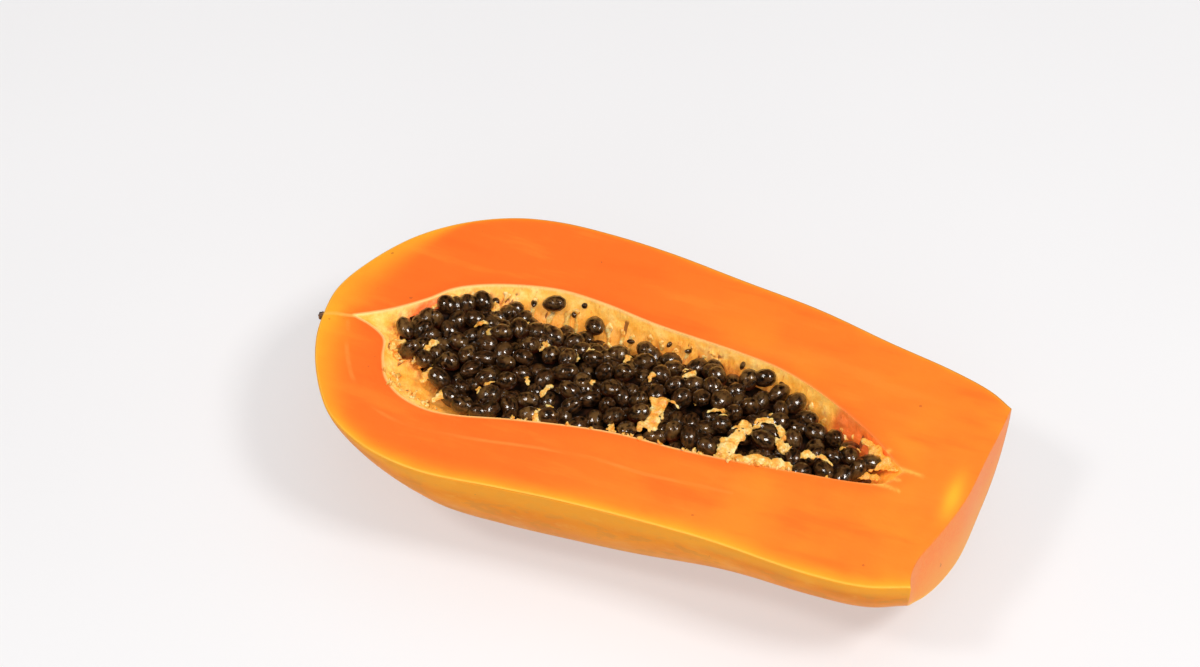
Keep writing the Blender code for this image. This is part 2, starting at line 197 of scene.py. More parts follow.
# Strands of pulp among the seeds: places with a height and a width, all laid a little lower than drawn
STRAND_SUNK = 1.2
STRAND_LUMPS = ((3.6, 1.5), (1.2, 0.35))
PULP_STRANDS = [
    [(114.3, 9.3, -0.6, 5.4), (116.6, 4.8, 0.2, 4.4), (118.0, 1.0, 0.2, 5.2), (119.0, -4.5, 0.0, 5.4),
     (119.8, -9.9, -0.8, 3.4)],
    [(148.4, 6.4, -0.6, 5.2), (147.0, 2.0, 0.4, 6.6), (145.9, -2.7, 0.4, 6.0), (144.4, -7.5, -0.2, 5.4),
     (143.6, -12.0, -1.0, 4.2)],
    [(149.6, 3.6, -0.8, 2.2), (151.2, 7.2, 0.4, 2.4), (154.6, 8.4, 0.8, 2.2), (158.2, 6.8, 0.2, 2.4),
     (159.6, 3.6, -1.0, 1.8)],
    [(166.4, -2.4, -0.6, 2.6), (170.0, -0.6, 0.2, 2.8), (174.6, -0.2, 0.2, 2.2), (178.6, -1.6, -0.8, 1.6)],
    [(156.0, 2.0, -0.4, 3.2), (159.7, 0.9, 0.4, 4.0), (164.4, -1.0, -0.2, 3.0)],
    [(121.8, 24.2, -3.6, 2.4), (122.6, 20.6, -2.0, 2.0), (120.0, 18.4, -1.6, 1.6)],
    [(72.4, 18.8, -2.8, 2.2), (73.4, 15.2, -1.8, 2.0), (72.0, 12.6, -2.4, 1.4)],
    [(52.6, 16.6, -3.2, 2.2), (54.6, 13.4, -1.8, 2.4), (54.2, 10.4, -2.6, 1.6)],
    [(60.0, -9.6, -1.6, 1.8), (62.2, -12.4, -0.8, 2.0), (63.0, -15.6, -1.4, 1.8)],
    [(82.2, -12.4, -1.4, 2.4), (83.4, -15.8, -0.6, 3.2), (84.4, -18.6, -0.8, 2.6)],
    [(106.8, -8.8, -1.2, 2.0), (107.6, -12.4, -0.4, 2.6), (108.6, -15.0, -0.8, 2.4)],
    [(128.6, 12.8, -1.6, 2.0), (129.8, 10.0, -0.6, 2.6), (128.4, 7.2, -1.2, 1.8)],
    [(183.0, 13.4, -0.8, 2.2), (188.0, 9.8, -0.2, 3.2), (192.4, 6.8, 0.1, 3.4), (196.6, 4.2, 0.3, 2.2)],
    [(187.0, 1.8, -1.6, 2.4), (190.6, 2.8, -0.4, 3.4), (194.6, 3.0, 0.2, 2.8), (198.4, 2.8, 0.5, 1.2)],
    [(186.0, -2.6, -1.2, 1.8), (190.4, -2.2, -0.2, 2.6), (194.8, -1.6, 0.2, 1.8)],
    [(26.4, -5.6, -0.9, 2.2), (27.9, -2.4, -0.4, 3.0), (30.0, 0.2, -1.4, 2.0)],
    [(41.0, -14.4, -2.2, 2.4), (43.3, -10.9, -0.9, 3.2), (45.6, -8.4, -1.4, 2.2)],
    [(48.4, -21.0, -1.4, 2.4), (51.6, -17.4, -0.8, 3.4), (54.2, -14.2, -1.4, 2.4)],
    [(37.4, -3.2, -1.0, 1.8), (38.8, 0.9, 0.1, 2.4), (39.6, 4.2, -1.0, 1.6)],
    [(40.6, 30.6, -2.4, 1.6), (43.0, 26.6, -1.2, 2.0), (43.8, 21.8, -1.6, 1.6)],
    [(49.0, 31.6, -3.2, 2.4), (50.2, 27.6, -2.4, 2.8), (51.6, 24.4, -3.4, 1.8)],
    [(140.6, -11.0, -1.0, 2.4), (146.6, -10.2, -0.2, 3.6), (153.0, -9.6, 0.2, 4.2), (159.4, -8.6, 0.2, 4.2),
     (165.4, -8.0, -0.2, 3.4), (171.0, -7.4, -1.0, 2.2)],
]

# Crumbs, and their patches: middle, reach along and across the fruit, and how many
CRUMB_RANDOM = 5
CRUMB_KINDS = 4
CRUMB_SIZES = ((0.35, 1.5), (0.35, 1.0), (0.35, 0.9))
CRUMB_LUMPS = (0.9, 1.5)
CRUMB_SUNK = 2.4
CRUMB_RAISED = 0.3
CRUMB_PATCHES = [
    (152.0, -10.8, 8.0, 2.8, 22), (163.6, -9.2, 6.0, 2.4, 18), (134.0, -12.4, 8.0, 1.6, 12),
    (174.0, -7.4, 6.0, 1.2, 8), (120.0, -13.4, 8.0, 1.2, 8), (36.0, -19.0, 6.0, 5.0, 14),
    (30.0, -6.0, 3.0, 4.0, 8), (45.0, -22.0, 6.0, 3.0, 8), (161.4, -1.2, 4.0, 2.0, 8),
    (114.0, -14.0, 5.0, 1.2, 6), (96.0, -16.0, 8.0, 1.4, 6), (74.0, -20.4, 8.0, 1.4, 6),
    (122.0, 31.6, 18.0, 1.8, 4), (172.0, 18.4, 8.0, 2.2, 5), (186.0, 9.0, 4.0, 3.0, 5),
]

# Frayed tissue at the cavity's stem end, as lines that each have a width
FEATHERS = [
    [(186.0, 1.6, 2.6), (192.5, 1.6, 1.9), (197.2, 3.0, 1.2), (202.1, 3.3, 0.8), (206.5, 3.0, 0.4)],
    [(183.0, -6.6, 0.8), (189.7, -4.6, 1.5), (193.1, -4.8, 1.2), (197.1, -5.0, 0.8), (201.5, -5.6, 0.4)],
    [(188.0, 4.4, 1.7), (190.4, 5.9, 1.4), (192.4, 7.1, 1.0), (193.5, 9.9, 0.5)],
    [(191.0, -1.2, 1.4), (196.0, -1.6, 0.9), (200.0, -1.2, 0.5)],
]

# Seed stalks on the far wall, and torn bits of pulp among the seeds
STALK_RANDOM = 23
STALK_COUNT = 30
STALK_LUMPS = ((1.4, 0.7),)
STALK_START = 27.0
STALK_END = 184.0
BIT_RANDOM = 31
BIT_COUNT = 34
BIT_LUMPS = ((1.8, 0.8),)
BIT_SPAN = (34.0, 182.0)
BIT_REACH = (1.4, 3.4)
BIT_SUNK = (1.6, 2.6)
BIT_WIDTH = (0.8, 2.0)

# The dry scar at the blossom tip, in places that each have a width
TIP_SCAR = [(-0.9, -1.6, -1.6, 1.2), (-0.6, -0.6, -1.2, 2.0), (-0.5, 0.6, -1.2, 2.0), (-0.8, 1.6, -1.7, 1.2)]
SCAR_LUMPS = ((0.8, 0.5),)

# The camera's place and aim, in mm like the shapes, and its lens
EYE = (315.35, -558.4, 647.4)
TARGET = (89.28, 24.47, 0.0)
SENSOR = 36.0
LENS = 81.8

# The stage, in metres
FLOOR_SIZE = 6.0
LIGHT_AIM = (0.0, 0.0, 0.03)
LIGHT_COLOUR = (1.0, 0.985, 0.97)


def curve_through(points, steps=CURVE_STEPS):
    """A smooth curve through the points, as a dense polyline."""
    knots = np.array(points, float)
    spans = np.linalg.norm(np.diff(knots, axis=0), axis=1)
    times = np.concatenate([[0.0], np.cumsum(np.sqrt(spans))])
    slopes = np.gradient(knots, times, axis=0)
    dense = []
    for i in range(len(knots) - 1):
        width = times[i + 1] - times[i]
        for t in np.linspace(0.0, 1.0, steps, endpoint=False):
            dense.append(
                (2 * t**3 - 3 * t**2 + 1) * knots[i]
                + (t**3 - 2 * t**2 + t) * width * slopes[i]
                + (3 * t**2 - 2 * t**3) * knots[i + 1]
                + (t**3 - t**2) * width * slopes[i + 1]
            )
    dense.append(knots[-1])
    return np.array(dense)


def along(curve, fractions):
    """Points at fractions of the curve's length."""
    lengths = np.concatenate([[0.0], np.cumsum(np.linalg.norm(np.diff(curve, axis=0), axis=1))])
    wanted = np.asarray(fractions) * lengths[-1]
    return np.stack([np.interp(wanted, lengths, curve[:, k]) for k in range(curve.shape[1])], axis=1)


def curve_at(curve, x):
    """The second coordinate of a curve at places along its first."""
    return np.interp(x, curve[:, 0], curve[:, 1])


def smooth_step(value, start, end):
    """From 0 at the start value to 1 at the end one, eased at both."""
    t = np.clip((value - start) / (end - start), 0.0, 1.0)
    return t * t * (3 - 2 * t)


rind_curve = curve_through(NEAR_EDGE[:0:-1] + FAR_EDGE)
tip_at = (len(NEAR_EDGE) - 1) * CURVE_STEPS
near_edge = rind_curve[: tip_at + 1][::-1]
far_edge = rind_curve[tip_at:]
stem_cut = curve_through(STEM_CUT)
keel = curve_through(KEEL)
rim_far = curve_through(RIM_FAR)
rim_near = curve_through(RIM_NEAR)
fullness_curve = curve_through(FULLNESS)
cavity_depth = curve_through(CAVITY_DEPTH)
bed_far = curve_through(BED_FAR)
bed_near = curve_through(BED_NEAR)
sink_at, sink_down, sink_nearer = np.array(FAR_SINK).T
heap_far = bed_far - np.column_stack([bed_far[:, 0] * 0, np.interp(bed_far[:, 0], sink_at, sink_nearer)])

LENGTH_MIDDLE = (rind_curve[:, 0].min() + rind_curve[:, 0].max()) / 2
WIDTH_MIDDLE = (rind_curve[:, 1].min() + rind_curve[:, 1].max()) / 2
FACE_HEIGHT = keel[:, 1].max() - SPOT_CUT
ORIGIN = np.array([LENGTH_MIDDLE, WIDTH_MIDDLE, -FACE_HEIGHT])


def placed(points):
    """Millimetres from the blossom tip, on the cut face's level, to metres in the part's own frame."""
    return (np.asarray(points, float) - ORIGIN) * MM


def distance_to(points, line):
    """How far each point is from a polyline in plan."""
    starts, steps = line[:-1], np.diff(line, axis=0)
    squares = (steps**2).sum(axis=1) + 1e-12
    nearest = np.full(len(points), np.inf)
    for start, step, square in zip(starts, steps, squares):
        away = points - start
        share = np.clip((away @ step) / square, 0.0, 1.0)
        gap = np.linalg.norm(away - share[:, None] * step, axis=1)
        nearest = np.minimum(nearest, gap)
    return nearest


def deselect():
    bpy.ops.object.select_all(action="DESELECT")


def choose(*objects):
    deselect()
    for obj in objects:
        obj.select_set(True)
    bpy.context.view_layer.objects.active = objects[0]


def corners(obj):
    """The places of a mesh's points, one row each."""
    places = np.empty(len(obj.data.vertices) * 3)
    obj.data.vertices.foreach_get("co", places)
    return places.reshape(-1, 3)


def lay(obj, places):
    """Puts a mesh's points at new places."""
    obj.data.vertices.foreach_set("co", np.asarray(places, float).ravel())
    obj.data.update()


def note(obj, name, values):
    """Keeps one number for each point of a piece, for its materials to read."""
    attribute = obj.data.attributes.new(name, "FLOAT", "POINT")
    attribute.data.foreach_set("value", np.asarray(values, float))


def ringed_body(name, loops):
    """A circle is extruded ring by ring, and each ring is laid on its loop of points, in mm."""
    count = len(loops[0])
    deselect()
    bpy.ops.mesh.primitive_circle_add(vertices=count, radius=1.0)
    body = bpy.context.object
    body.name = body.data.name = name
    bpy.ops.object.mode_set(mode="EDIT")
    bpy.ops.mesh.select_all(action="SELECT")
    for _ in loops[1:]:
        bpy.ops.mesh.extrude_region_move(TRANSFORM_OT_translate={"value": (0.0, 0.0, 1.0)})
    bpy.ops.object.mode_set(mode="OBJECT")
    places = corners(body)
    ring = np.rint(places[:, 2]).astype(int)
    angle = np.arctan2(places[:, 1], places[:, 0])
    station = np.rint((angle - angle[0]) / (2 * math.pi) * count).astype(int) % count
    lay(body, placed(np.array(loops)[ring, station]))
    return body, ring, station


def close_up(body, gap=0.004):
    """Merges points that lie together and turns all faces outwards."""
    choose(body)
    bpy.ops.object.mode_set(mode="EDIT")
    bpy.ops.mesh.select_all(action="SELECT")
    bpy.ops.mesh.remove_doubles(threshold=gap * MM)
    bpy.ops.mesh.normals_make_consistent(inside=False)
    bpy.ops.object.mode_set(mode="OBJECT")


def roughened(body, size, height, group=""):
    """Crumbles a surface with clouds of a size in mm, in and out by half the height."""
    clouds = bpy.data.textures.new(f"{body.name}_crumble", "CLOUDS")
    clouds.noise_scale = size * MM
    clouds.noise_depth = 3
    clouds.contrast = 2.0
    push = body.modifiers.new("crumble", "DISPLACE")
    push.texture = clouds
    push.strength = height * MM
    push.mid_level = 0.5
    push.vertex_group = group
    choose(body)
    bpy.ops.object.modifier_apply(modifier=push.name)
    bpy.data.textures.remove(clouds)


def smoothed(body, degrees=None):
    choose(body)
    if degrees is None:
        bpy.ops.object.shade_smooth()
    else:
        bpy.ops.object.shade_smooth_by_angle(angle=math.radians(degrees))


def subdivided(body, levels):
    smooth = body.modifiers.new("smooth", "SUBSURF")
    smooth.levels = smooth.render_levels = levels
    choose(body)
    bpy.ops.object.modifier_apply(modifier=smooth.name)


def copied(model, place, turn, size):
    """A copy of a model with its own mesh, at a place in mm."""
    copy = model.copy()
    copy.data = model.data.copy()
    bpy.context.collection.objects.link(copy)
    copy.matrix_world = Matrix.LocRotScale(Vector(placed(place)), turn, Vector(size))
    return copy


def joined(name, bodies):
    choose(*bodies)
    bpy.ops.object.join()
    whole = bpy.context.object
    whole.name = whole.data.name = name
    return whole


def settled(body):
    """Puts a piece's place, turn and size into its mesh."""
    choose(body)
    bpy.ops.object.transform_apply(location=True, rotation=True, scale=True)


def part_of(body):
    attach(body, "root")


# Shape of the half


def medial_line(fractions):
    """For each pair of far and near edge points, the keel's place in plan, and depth and fullness there."""
    middle = (along(far_edge, fractions) + along(near_edge, fractions)) / 2
    x = middle[:, 0]
    fan = FAN_START + (FAN_END - FAN_START) * np.clip(x / FAN_END, 0.0, 1.0) ** FAN_POWER
    keel_x = np.where(x < FAN_END, fan, x)
    return keel_x, curve_at(middle, keel_x), curve_at(keel, keel_x), curve_at(fullness_curve, x)


def cut_wave(y):
    """How far the hand-cut end departs from a straight cut between its corners."""
    by_width = stem_cut[:, ::-1]
    return curve_at(by_width, y) - curve_at(by_width[[0, -1]], y)


def skin_loops():
    """Closed loops from the cut face's edge down to the keel, each round the tip, the sides and the end."""
    fractions = np.linspace(0.0, 1.0, SIDE_STATIONS + 1)
    keel_x, keel_y, depth, fullness = medial_line(fractions)
    blend = smooth_step(fractions, STEM_CUT_BLEND, 1.0)
    end = along(stem_cut, np.linspace(1.0, 0.0, END_STATIONS + 1)[1:-1])
    turns = np.concatenate([SKIN_START, np.linspace(SKIN_SECOND_START, 1.0, SKIN_RINGS)]) * math.pi / 2
    loops = []
    for turn in turns:
        inward = math.cos(turn) if turn < math.pi / 2 - 1e-9 else 0.0
        drop = depth * (1 - inward ** np.maximum(fullness, 2.0)) ** (1 / fullness)
        sides = []
        for edge in (along(far_edge, fractions), along(near_edge, fractions)):
            x = keel_x + (edge[:, 0] - keel_x) * inward
            y = keel_y + (edge[:, 1] - keel_y) * inward
            sides.append(np.stack([x + cut_wave(y) * blend, y, -drop], axis=1))
        far_corner, near_corner = sides[0][-1], sides[1][-1]
        end_y = keel_y[-1] + (end[:, 1] - keel_y[-1]) * inward
        corner_y = [near_corner[1], far_corner[1]]
        end_x = np.interp(end_y, corner_y, [near_corner[0], far_corner[0]])
        end_x += cut_wave(end_y) - np.interp(end_y, corner_y, cut_wave(corner_y))
        across = np.stack([end_x, end_y, np.full(len(end_y), -drop[-1])], axis=1)
        loops.append(np.concatenate([sides[0], across, sides[1][:0:-1]]))
    return loops


def inward_directions(loop):
    """Unit directions in plan that point from a closed loop into it."""
    tangent = np.roll(loop, -1, axis=0)[:, :2] - np.roll(loop, 1, axis=0)[:, :2]
    tangent /= np.linalg.norm(tangent, axis=1)[:, None]
    inward = np.stack([tangent[:, 1], -tangent[:, 0]], axis=1)
    middle = loop[:, :2].mean(axis=0)
    if ((middle - loop[:, :2]) * inward).sum() < 0:
        inward = -inward
    return inward


def round_off(distance):
    """How far a rounded edge falls back at a distance from the corner that it rounds."""
    left = np.clip(EDGE_ROUND - distance, 0.0, EDGE_ROUND)
    return EDGE_ROUND - np.sqrt(EDGE_ROUND**2 - left**2)


def rim_and_middle():
    """The cavity's rim and its middle line, station by station like the outline."""
    sides = np.linspace(0.0, RIM_AT_END, SIDE_STATIONS + 1)
    half_end = END_STATIONS // 2
    tip = np.linspace(RIM_AT_END, 1.0, half_end + 1)[1:]
    out = np.concatenate([sides, tip])
    far, near = along(rim_far, out), along(rim_near, out)
    middle_x = (far[:, 0] + near[:, 0]) / 2
    middle_y = (curve_at(rim_far, middle_x) + curve_at(rim_near, middle_x)) / 2
    middle = np.stack([middle_x, middle_y], axis=1)
    rim = np.concatenate([far, near[-2:0:-1]])
    return rim, np.concatenate([middle, middle[-2:0:-1]])


def floor_level(x, y):
    """The lining's level at places in plan."""
    far, near = curve_at(rim_far, x), curve_at(rim_near, x)
    half = np.maximum((far - near) / 2, MM)
    side = np.clip(np.abs(y - (far + near) / 2) / half, 0.0, 1.0)
    return -curve_at(cavity_depth, x) * (1 - side**CAVITY_FULLNESS)


def face_loops(edge, inward, rim):
    """Loops across the cut face, from its rounded edge to the cavity's rim."""
    loops = []
    for distance in EDGE_RINGS:
        plan = edge[:, :2] + inward * distance
        loops.append(np.column_stack([plan, np.full(len(edge), -round_off(distance))]))
    start = loops[-1][:, :2]
    for share in np.linspace(0.0, 1.0, FACE_RINGS + 1)[1:]:
        eased = 1 - (1 - share) ** FACE_CROWDING
        plan = start + (rim - start) * eased
        loops.append(np.column_stack([plan, np.zeros(len(edge))]))
    return loops


def lining_loops(rim, middle):
    """Loops from the rim down the cavity's wall to its middle line."""
    loops = []
    for share in np.linspace(0.0, 1.0, LINING_RINGS + 1)[1:]:
        plan = rim + (middle - rim) * share**LINING_CROWDING
        loops.append(np.column_stack([plan, floor_level(plan[:, 0], plan[:, 1])]))
    return loops


def half_loops():
    """Loops of the skin with its edge rounded and its spot flat, of the face and the lining, and the rim."""
    skin = skin_loops()
    edge = skin[0].copy()
    inward = inward_directions(edge)
    for loop in skin:
        loop[:, :2] += inward * round_off(-loop[:, 2])[:, None]
        loop[:, 2] = np.maximum(loop[:, 2], -FACE_HEIGHT)
    skin[0][:, 2] = -EDGE_ROUND / 4
    rim, middle = rim_and_middle()
    return skin, face_loops(edge, inward, rim), lining_loops(rim, middle), rim


def end_outline(skin):
    """The skin's line round the stem end's cut, as width against depth."""
    far = np.array([loop[SIDE_STATIONS] for loop in skin])
    near = np.array([loop[SIDE_STATIONS + END_STATIONS] for loop in skin])
    return np.concatenate([far, near[::-1]])[:, 1:]


def shape_half():
    skin, face, lining, rim = half_loops()
    loops = skin[::-1] + face + lining
    body, ring, station = ringed_body("papaya_flesh_and_skin", loops)
    skin_last = len(skin) - 1
    face_last = skin_last + len(face)
    points = np.array(loops)[ring, station]
    plan = points[:, :2]
    edge_line = np.concatenate([far_edge[::-1], near_edge[1:]])
    rim_line = np.concatenate([rim, rim[:1]])
    on_end = (station >= SIDE_STATIONS) & (station <= SIDE_STATIONS + END_STATIONS) & (ring <= skin_last)
    from_skin = distance_to(plan, edge_line)
    from_skin[on_end] = distance_to(points[on_end][:, 1:], end_outline(skin))
    down_wall = np.linalg.norm(points - np.array(loops)[face_last, station], axis=1)
    from_rim = np.where(ring > face_last, -down_wall, distance_to(plan, rim_line))
    notes = {
        "from_skin": from_skin,
        "from_rim": from_rim,
        "from_bed": distance_from_bed(plan),
        "yellowing": yellowing(plan, from_skin),
        "from_seam": distance_to(plan, curve_through(SEAM)),
        "from_vein": distance_to(plan, curve_through(VEIN)),
        "from_red": np.min([distance_to(plan, curve_through(line)) for line in RED_TISSUE], axis=0),
        "feathering": feathering(plan),
        "end_cut": on_end,
        "yellow_patch": yellow_patch(plan),
    }
    for name, values in notes.items():
        note(body, name, values)
    paint_half(body, ring, station, skin_last, face_last)
    lining_group(body, from_rim)
    close_up(body)
    roughened(body, *LINING_LUMPS, "lining")
    smoothed(body, SMOOTH_ANGLE)
    return body


def yellowing(plan, from_skin):
    """How yellow the flesh is: a broad band inside the tip and near edge, and a thin one at the far edge."""
    near = smooth_step(plan[:, 1], *NEAR_SIDE)
    tip = smooth_step(plan[:, 0], *TIP_SIDE)
    tip *= 1 - (1 - YELLOW_TIP_NEAR) * near
    width = YELLOW_WIDTH + YELLOW_WIDTH_NEAR * near + YELLOW_WIDTH_TIP * tip
    return np.exp(-((np.maximum(from_skin, 0.0) / width) ** YELLOW_FALL))


def yellow_patch(plan):
    """How strongly the yellow patch by the stem end's cut shows."""
    x, y, long_way, cross_way = YELLOW_PATCH
    spread = ((plan[:, 0] - x) / long_way) ** 2 + ((plan[:, 1] - y) / cross_way) ** 2
    return YELLOW_PATCH_STRENGTH * np.exp(-spread)


def feathering(plan):
    """How strongly the frayed tissue of the cavity's stem end shows in the cut face."""
    strength = np.zeros(len(plan))
    for line in FEATHERS:
        for x, y, width in curve_through(line, 8):
            away = np.hypot(plan[:, 0] - x, plan[:, 1] - y)
            strength = np.maximum(strength, np.exp(-((away / width) ** 2)))
    return strength


def distance_from_bed(plan):
    """How far places lie outside the bed of seeds, and less than nothing inside it."""
    outline = np.concatenate([heap_far, bed_near[::-1], heap_far[:1]])
    inside = np.array([in_bed(x, y) and y < curve_at(heap_far, x) for x, y in plan])
    return np.where(inside, -1.0, 1.0) * distance_to(plan, outline)


def paint_half(body, ring, station, skin_last, face_last):
    """Gives each face its finish: skin, flesh or lining, by the rings and stations at its corners."""
    faces = len(body.data.polygons)
    index = np.empty(len(body.data.loops), int)
    body.data.loops.foreach_get("vertex_index", index)
    index = index.reshape(faces, 4)
    rings, stations = ring[index], station[index]
    in_end = (stations >= SIDE_STATIONS) & (stations <= SIDE_STATIONS + END_STATIONS)
    finish = np.ones(faces, int)
    finish[(rings.max(axis=1) <= skin_last) & ~in_end.all(axis=1)] = 0
    finish[rings.min(axis=1) >= face_last] = 2
    for material in (skin_finish(), flesh_finish(), lining_finish()):
        body.data.materials.append(material)
    body.data.polygons.foreach_set("material_index", finish)


def lining_group(body, from_rim):
    """Weights that let the lining crumble, but not its rim."""
    group = body.vertex_groups.new(name="lining")
    weights = np.clip((-from_rim - LUMPS_START) / LUMPS_FADE, 0.0, 1.0)
    for level in range(1, LUMPS_LEVELS + 1):
        chosen = np.flatnonzero(np.ceil(weights * LUMPS_LEVELS).astype(int) == level)
        group.add(chosen.tolist(), level / LUMPS_LEVELS, "REPLACE")


# Seeds


def heap_height(x, y):
    """Top of the seed heap against the cut face's level."""
    far, near = curve_at(rim_far, x), curve_at(rim_near, x)
    side = (y - (far + near) / 2) / max((far - near) / 2, 1.0)
    height = HEAP_TOP - (HEAP_FAR_DROP if side > 0 else HEAP_NEAR_DROP) * side**2
    for edge, reach, drop in (HEAP_LEFT, HEAP_RIGHT):
        height -= drop * max(0.0, 1 - abs(x - edge) / reach) ** 2
    return height


def in_bed(x, y):
    return BED_FAR[0][0] < x < BED_FAR[-1][0] and curve_at(bed_near, x) < y < curve_at(bed_far, x)


def scatter(draw, count, taken=(), tries_each=16):
    """Evenly scattered points in the bed, each the loneliest of a few random tries."""
    points = []
    while len(points) < count:
        tries = []
        while len(tries) < tries_each:
            x = draw.uniform(BED_FAR[0][0], BED_FAR[-1][0])
            y = draw.uniform(bed_near[:, 1].min(), bed_far[:, 1].max())
            if in_bed(x, y):
                tries.append((x, y))
        others = points + list(taken)
        points.append(max(tries, key=lambda p: min([math.dist(p, q) for q in others], default=0.0)))
    return points


def settle(centres, heights):
    """Pushes crowding seeds apart and keeps them in the bed, near the height their layer lies at."""
    for _ in range(SETTLE_STEPS):
        apart = centres[:, None] - centres[None]
        distance = np.linalg.norm(apart, axis=2) + np.eye(len(centres)) * SEED_SPACING
        crowding = np.clip(SEED_SPACING - distance, 0.0, None) / distance
        centres = centres + (apart * crowding[:, :, None]).sum(axis=1) * SETTLE_PUSH
        centres[:, 0] = np.clip(centres[:, 0], BED_FAR[0][0], BED_FAR[-1][0])
        near, far = curve_at(bed_near, centres[:, 0]), curve_at(bed_far, centres[:, 0])
        centres[:, 1] = np.clip(centres[:, 1], near, far)
        level = np.array([heap_height(x, y) for x, y, _ in centres]) - heights
        centres[:, 2] += SETTLE_RETURN * (level - centres[:, 2])
        floor = floor_level(centres[:, 0], centres[:, 1])
        centres[:, 2] = np.maximum(centres[:, 2], floor + SEED_CLEARANCE)
    return centres


def seed_look(draw):
    """Half sizes and turn of one seed."""
    size = [draw.uniform(*bounds) / 2 for bounds in (SEED_LENGTH, SEED_WIDTH, SEED_HEIGHT)]
    turn = Euler((draw.gauss(0, SEED_TURN), draw.gauss(0, SEED_TURN), draw.uniform(0, math.pi)))
    return size, turn


def seed_places():
    """Centre, turn and half sizes of each seed, and whether it lies in the heap.

    The heap's seeds are laid in layers by the same seeded rule as the solids.
    """
    draw = random.Random(SEED_RANDOM)
    centres, heights, looks = [], [], []
    for count, sunk in SEED_LAYERS:
        for x, y in scatter(draw, count):
            size, turn = seed_look(draw)
            below = size[2] + sunk + draw.gauss(0, 0.5)
            centres.append((x, y, heap_height(x, y) - below))
            heights.append(below)
            looks.append((turn, size))
    centres = list(settle(np.array(centres), np.array(heights)))
    taken = [(x, y) for x, y, _ in centres]
    for x, y in scatter(draw, GAP_SEEDS, taken, GAP_SEED_TRIES):
        size, turn = seed_look(draw)
        level = heap_height(x, y) - size[2] - GAP_SEED_SUNK
        centres.append((x, y, max(level, float(floor_level(x, y)) + SEED_CLEARANCE)))
        looks.append((turn, size))
    heap = [i for i, centre in enumerate(centres) if centre[0] > BARE_TIP]
    seeds = [(centres[i], *looks[i], True) for i in heap]
    for place in STRAY_SEEDS:
        size, turn = seed_look(draw)
        seeds.append((place, turn, size, False))
    for x in STUNTED_SEEDS:
        size, turn = seed_look(draw)
        y = float(curve_at(rim_far, x)) - draw.uniform(*STUNTED_BELOW_RIM)
        small = [side * STUNTED_SIZE * draw.uniform(0.7, 1.2) for side in size]
        seeds.append(((x, y, float(floor_level(x, y)) + small[2]), turn, small, False))
    return seeds


def far_sink(x, y):
    """How much lower and nearer the heap lies at its far side, where more of the wall shows."""
    far = curve_at(bed_far, x)
    share = smooth_step(y, far - SINK_FROM_EDGE, far - SUNK_FROM_EDGE)
    return share * np.interp(x, sink_at, sink_down), share * np.interp(x, sink_at, sink_nearer)


def seed_model(number):
    """A seed of unit half sizes: pointed at its stalk end, with lengthwise ridges under its film."""
    draw = random.Random(number)
    deselect()
    bpy.ops.mesh.primitive_uv_sphere_add(
        segments=SEED_SIDES, ring_count=SEED_RINGS, radius=1.0, rotation=(0.0, math.pi / 2, 0.0)
    )
    seed = bpy.context.object
    settled(seed)
    places = corners(seed)
    length = places[:, 0].copy()
    around = np.arctan2(places[:, 2], places[:, 1])
    ridge = 1 + SEED_RIDGE * np.cos(SEED_SIDES / 2 * around + number) * (1 - length**2)
    blunt = 1 + draw.uniform(0.02, 0.09) * length
    places[:, 1:] *= (ridge * blunt)[:, None]
    places[:, 0] -= np.where(length < -0.98, SEED_POINT, 0.0)
    places[:, 2] += draw.uniform(-0.05, 0.05) * length
    lay(seed, places)
    return seed


def make_seeds():
    """All seeds, each a copy of one of a few models with its own mesh, turn, size and tone."""
    models = [seed_model(number) for number in range(SEED_KINDS)]
    draw = random.Random(SEED_RANDOM + 1)
    copies = []
    for number, (centre, turn, size, heaped) in enumerate(seed_places()):
        size = [side * draw.uniform(*stretch) for side, stretch in zip(size, SEED_STRETCH)]
        sunk = SUNK_DEPTH if draw.random() < SUNK_SHARE else 0.0
        if heaped:
            drop, pull = far_sink(*centre[:2])
            centre = np.array(centre) + (0.0, -pull, draw.gauss(*SEED_RISE) - sunk - drop)
            centre[2] = max(centre[2], float(floor_level(*centre[:2])) + SEED_CLEARANCE)
        turn.rotate(Euler((draw.gauss(0, SEED_TILT), draw.gauss(0, SEED_TILT), 0.0)))
        seed = copied(models[number % SEED_KINDS], centre, turn, Vector(size) * MM)
        local = corners(seed)
        spread = local * size + np.array([draw.uniform(0, PATTERN_SPREAD) for _ in range(3)])
        own = seed.data.attributes.new("own_place", "FLOAT_VECTOR", "POINT")
        own.data.foreach_set("vector", spread.ravel())
        turned = local @ np.array(turn.to_matrix()).T
        # How far each point faces up, which the seed finish uses for its painted sheen on top and painted
        # glow below
        note(seed, "upper", turned[:, 2] / np.linalg.norm(turned, axis=1))
        note(seed, "tone", np.full(len(local), draw.random()))
        copies.append(seed)
    for model in models:
        bpy.data.objects.remove(model)
    seeds = joined("papaya_seeds", copies)
    settled(seeds)
    seeds.data.materials.append(seed_finish())
    smoothed(seeds)
    return seeds


